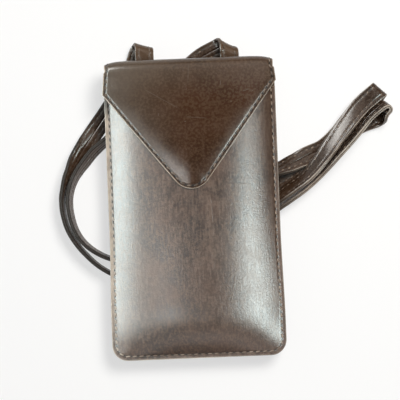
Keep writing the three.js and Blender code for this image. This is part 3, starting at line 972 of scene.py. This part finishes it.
# The flap's cut edge is pale, painted less pale towards the right; its left part and the band below the fold are
# lightened as a painted reflection, and it is faintly scuffed
def flapMarks(wire):
    wear, room = flapWear, attribute(wire, "inset")
    x, y = objectAxis(wire, "X"), objectAxis(wire, "Y")
    pale = 1 - room.between(*wear["paleRoom"])
    pale = pale * (wear["pale"] - x.between(*wear["right"]) * wear["rightLess"])
    # painted reflection on the left part and below the fold
    rubAndSheen = (1 - x.between(*wear["sheenSide"])) * y.between(*wear["sheenRise"]) * wear["rubAndSheen"]
    rubAndSheen = rubAndSheen + y.between(*wear["foldRise"]) * wear["foldSheen"]
    return {
        "pale": pale, "groove": sewnGroove(room, wear), "hole": attribute(wire, "hole"),
        "rubAndSheen": rubAndSheen + scuffed(wire, wear),
    }


# The strap's cut edge shows its two layers, painted paler towards the right, at the free end of the loop, as a
# painted highlight
def strapMarks(wire):
    wear, room, through = strapWear, attribute(wire, "edgeRoom"), attribute(wire, "through")
    x, y = objectAxis(wire, "X"), objectAxis(wire, "Y")
    right = x.between(*wear["right"])
    pale = (1 - room.between(*wear["paleRoom"])) * (through * through * 1e6).between(*wear["layers"])
    dyeAndPaintedShade = (1 - room.between(*wear["dullRoom"])) * (1 - right) * (1 - y.between(*wear["dullTop"]))
    tabs = x.between(*wear["rightTab"]) + 1 - x.between(*wear["leftTab"])
    return {
        "pale": pale * (wear["pale"] + right * wear["highlightMore"]), "groove": sewnGroove(room, wear),
        "rubAndSheen": y.between(*wear["tabRise"]) * tabs, "dyeAndPaintedShade": dyeAndPaintedShade * wear["dyeAndPaintedShade"],
    }


rawEdgeTones = {
    "deep": (0.36, 0.285, 0.215, 1), "light": (0.56, 0.47, 0.375, 1), "fibre": (0.20, 0.135, 0.09, 1),
    # the darker tone is painted shade for the cut edges on the right
    "dyeAndShade": (0.085, 0.058, 0.040, 1), "shadedEdgeSide": (-0.01, 0.045), "rough": 0.62,
}


def rawEdgeFinish(name, tone):
    material, wire = newMaterial(name)
    place = objectPlace(wire)
    fibre, blotch = noise(wire, place, 900, 4, 0.65), noise(wire, place, 120, 3, 0.6)
    color = blotch.between(0.35, 0.65).mix(tone["deep"], tone["light"])
    color = (fibre.between(0.5, 0.72) * 0.4).mix(color, tone["fibre"])
    # cut edges towards the right are painted darker as painted shade, where less light falls
    color = (objectAxis(wire, "X").between(*tone["shadedEdgeSide"]) * 0.75).mix(color, tone["dyeAndShade"])
    bump = surfaceBump(wire, 0.4, 0.0002, fibre)
    shader = wire.node("ShaderNodeBsdfPrincipled", {}, {
        "Base Color": color, "Roughness": tone["rough"], "Normal": bump,
    })
    finishMaterial(wire, shader)
    return material


# Thread, with the tone that it has along the left side; on the panel that lighter tone is a painted highlight from
# the light at the left
threadTones = {
    "panelThread": {
        "deep": (0.16, 0.117, 0.086, 1), "light": (0.32, 0.255, 0.20, 1), "left": (0.46, 0.40, 0.335, 1),
    },
    "flapThread": {
        "deep": (0.085, 0.058, 0.041, 1), "light": (0.22, 0.165, 0.125, 1), "left": (0.11, 0.078, 0.055, 1),
    },
    "strapThread": {
        "deep": (0.06, 0.040, 0.028, 1), "light": (0.19, 0.14, 0.105, 1), "left": (0.065, 0.046, 0.033, 1),
    },
}
threadSetup = {"leftSide": (-0.05, -0.035), "rough": 0.65, "gloss": 0.2}


def threadFinish(name, tone):
    material, wire = newMaterial(name)
    place = objectPlace(wire)
    twist, wax = noise(wire, place, 2600, 2, 0.6), noise(wire, place, 160, 3, 0.6)
    color = wax.between(0.35, 0.65).mix(tone["deep"], tone["light"])
    color = (1 - objectAxis(wire, "X").between(*threadSetup["leftSide"])).mix(color, tone["left"])
    bump = surfaceBump(wire, 0.5, 0.0001, twist)
    shader = wire.node("ShaderNodeBsdfPrincipled", {}, {
        "Base Color": color, "Roughness": threadSetup["rough"], "Normal": bump,
        "Specular IOR Level": threadSetup["gloss"],
    })
    finishMaterial(wire, shader)
    return material


panelLeather = leatherFinish("panelLeather", leatherTones["panel"], panelMarks)
flapLeather = leatherFinish("flapLeather", leatherTones["flap"], flapMarks)
strapLeather = leatherFinish("strapLeather", leatherTones["strap"], strapMarks)
rawEdge = rawEdgeFinish("rawEdge", rawEdgeTones)
for piece, leather in ((frontPanel, panelLeather), (backAndFlap, flapLeather)):
    piece.data.materials[0], piece.data.materials[1] = leather, rawEdge
strapStrip.data.materials.append(strapLeather)
for piece, (name, tone) in zip((panelStitches, flapStitches, strapStitches), threadTones.items()):
    piece.data.materials.append(threadFinish(name, tone))
print("finishes set")

# Every piece belongs to the one body of the bag
for piece, slot in ((frontPanel, "panel_leather"), (panelStitches, "panel_leather"),
                    (backAndFlap, "flap_leather"), (flapStitches, "flap_leather"),
                    (strapStrip, "strap_leather"), (strapStitches, "strap_leather")):
    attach(piece, "root")
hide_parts("front_panel")
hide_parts("back_and_flap")
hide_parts("strap")

# Studio: a pale floor, a wide light wall on the left and a softbox high on the right
studio = {
    "floorSize": 6,
    "floorLevel": -0.0006,
    "floorColor": (0.31, 0.31, 0.31, 1),
    "floorGlow": 0.62,
    "floorRough": 0.9,
    "floorGloss": 0.1,
    "world": (0.18, 0.18, 0.18, 1),
    "aim": (0, 0, 0.02),
    "key": "softKey",  # this lamp lights, the rest show in the gloss
    "lights": {
        "leftWall": {"place": (-0.87, 0, 0.5), "size": (1.2, 0.5), "power": 44.5, "color": (0.865, 1, 0.995)},
        "leftHigh": {"place": (-0.66, -0.18, 1.05), "size": (0.6, 0.6), "power": 4, "color": (0.96, 1, 0.98)},
        "rightBox": {"place": (0.78, -0.22, 1.03), "size": (0.42, 0.42), "power": 22.2, "color": (0.86, 1, 0.985)},
        "backFill": {"place": (0, 0.85, 0.78), "size": (1.3, 0.9), "power": 5.5, "color": (1, 0.96, 0.9)},
        "frontFill": {"place": (0, -0.95, 0.72), "size": (1.2, 0.5), "power": 4.5, "color": (1, 0.98, 0.95)},
        "tipCard": {"place": (-0.28, -0.27, 1.05), "size": (0.26, 0.26), "power": 3.7, "color": (0.98, 1, 0.98)},
        "upperCard": {"place": (-0.62, 0.66, 0.62), "size": (0.5, 0.5), "power": 17.5, "color": (0.98, 1, 0.98)},
        "softKey": {"place": (0.42, 0.5, 1.1), "size": (0.5, 0.5), "power": 19, "color": (1, 0.98, 0.94)},
    },
}


def addStudio(setup):
    bpy.ops.object.select_all(action="DESELECT")
    bpy.ops.mesh.primitive_plane_add(size=setup["floorSize"], location=(0, 0, setup["floorLevel"]))
    floor = bpy.context.object
    floor.name = "studioFloor"
    material, wire = newMaterial("paleFloor")
    shader = wire.node("ShaderNodeBsdfPrincipled", {}, {
        "Base Color": setup["floorColor"], "Roughness": setup["floorRough"],
        "Specular IOR Level": setup["floorGloss"],
        "Emission Color": (1, 1, 1, 1), "Emission Strength": setup["floorGlow"],
    })
    finishMaterial(wire, shader)
    floor.data.materials.append(material)
    for name, light in setup["lights"].items():
        place = Vector(light["place"])
        aim = (Vector(setup["aim"]) - place).to_track_quat("-Z", "Y").to_euler()
        bpy.ops.object.light_add(type="AREA", location=place, rotation=aim)
        lamp = bpy.context.object
        lamp.name = name
        lamp.data.shape = "RECTANGLE"
        lamp.data.size, lamp.data.size_y = light["size"]
        lamp.data.energy = light["power"]
        lamp.data.color = light["color"]
        lamp.visible_diffuse = name == setup["key"]
        lamp.visible_glossy = name != setup["key"]
    world = bpy.data.worlds.new("studioWorld")
    world.use_nodes = True
    world.node_tree.nodes["Background"].inputs["Color"].default_value = setup["world"]
    scene.world = world
    scene.view_settings.view_transform = "Standard"


addStudio(studio)
print("studio lit")
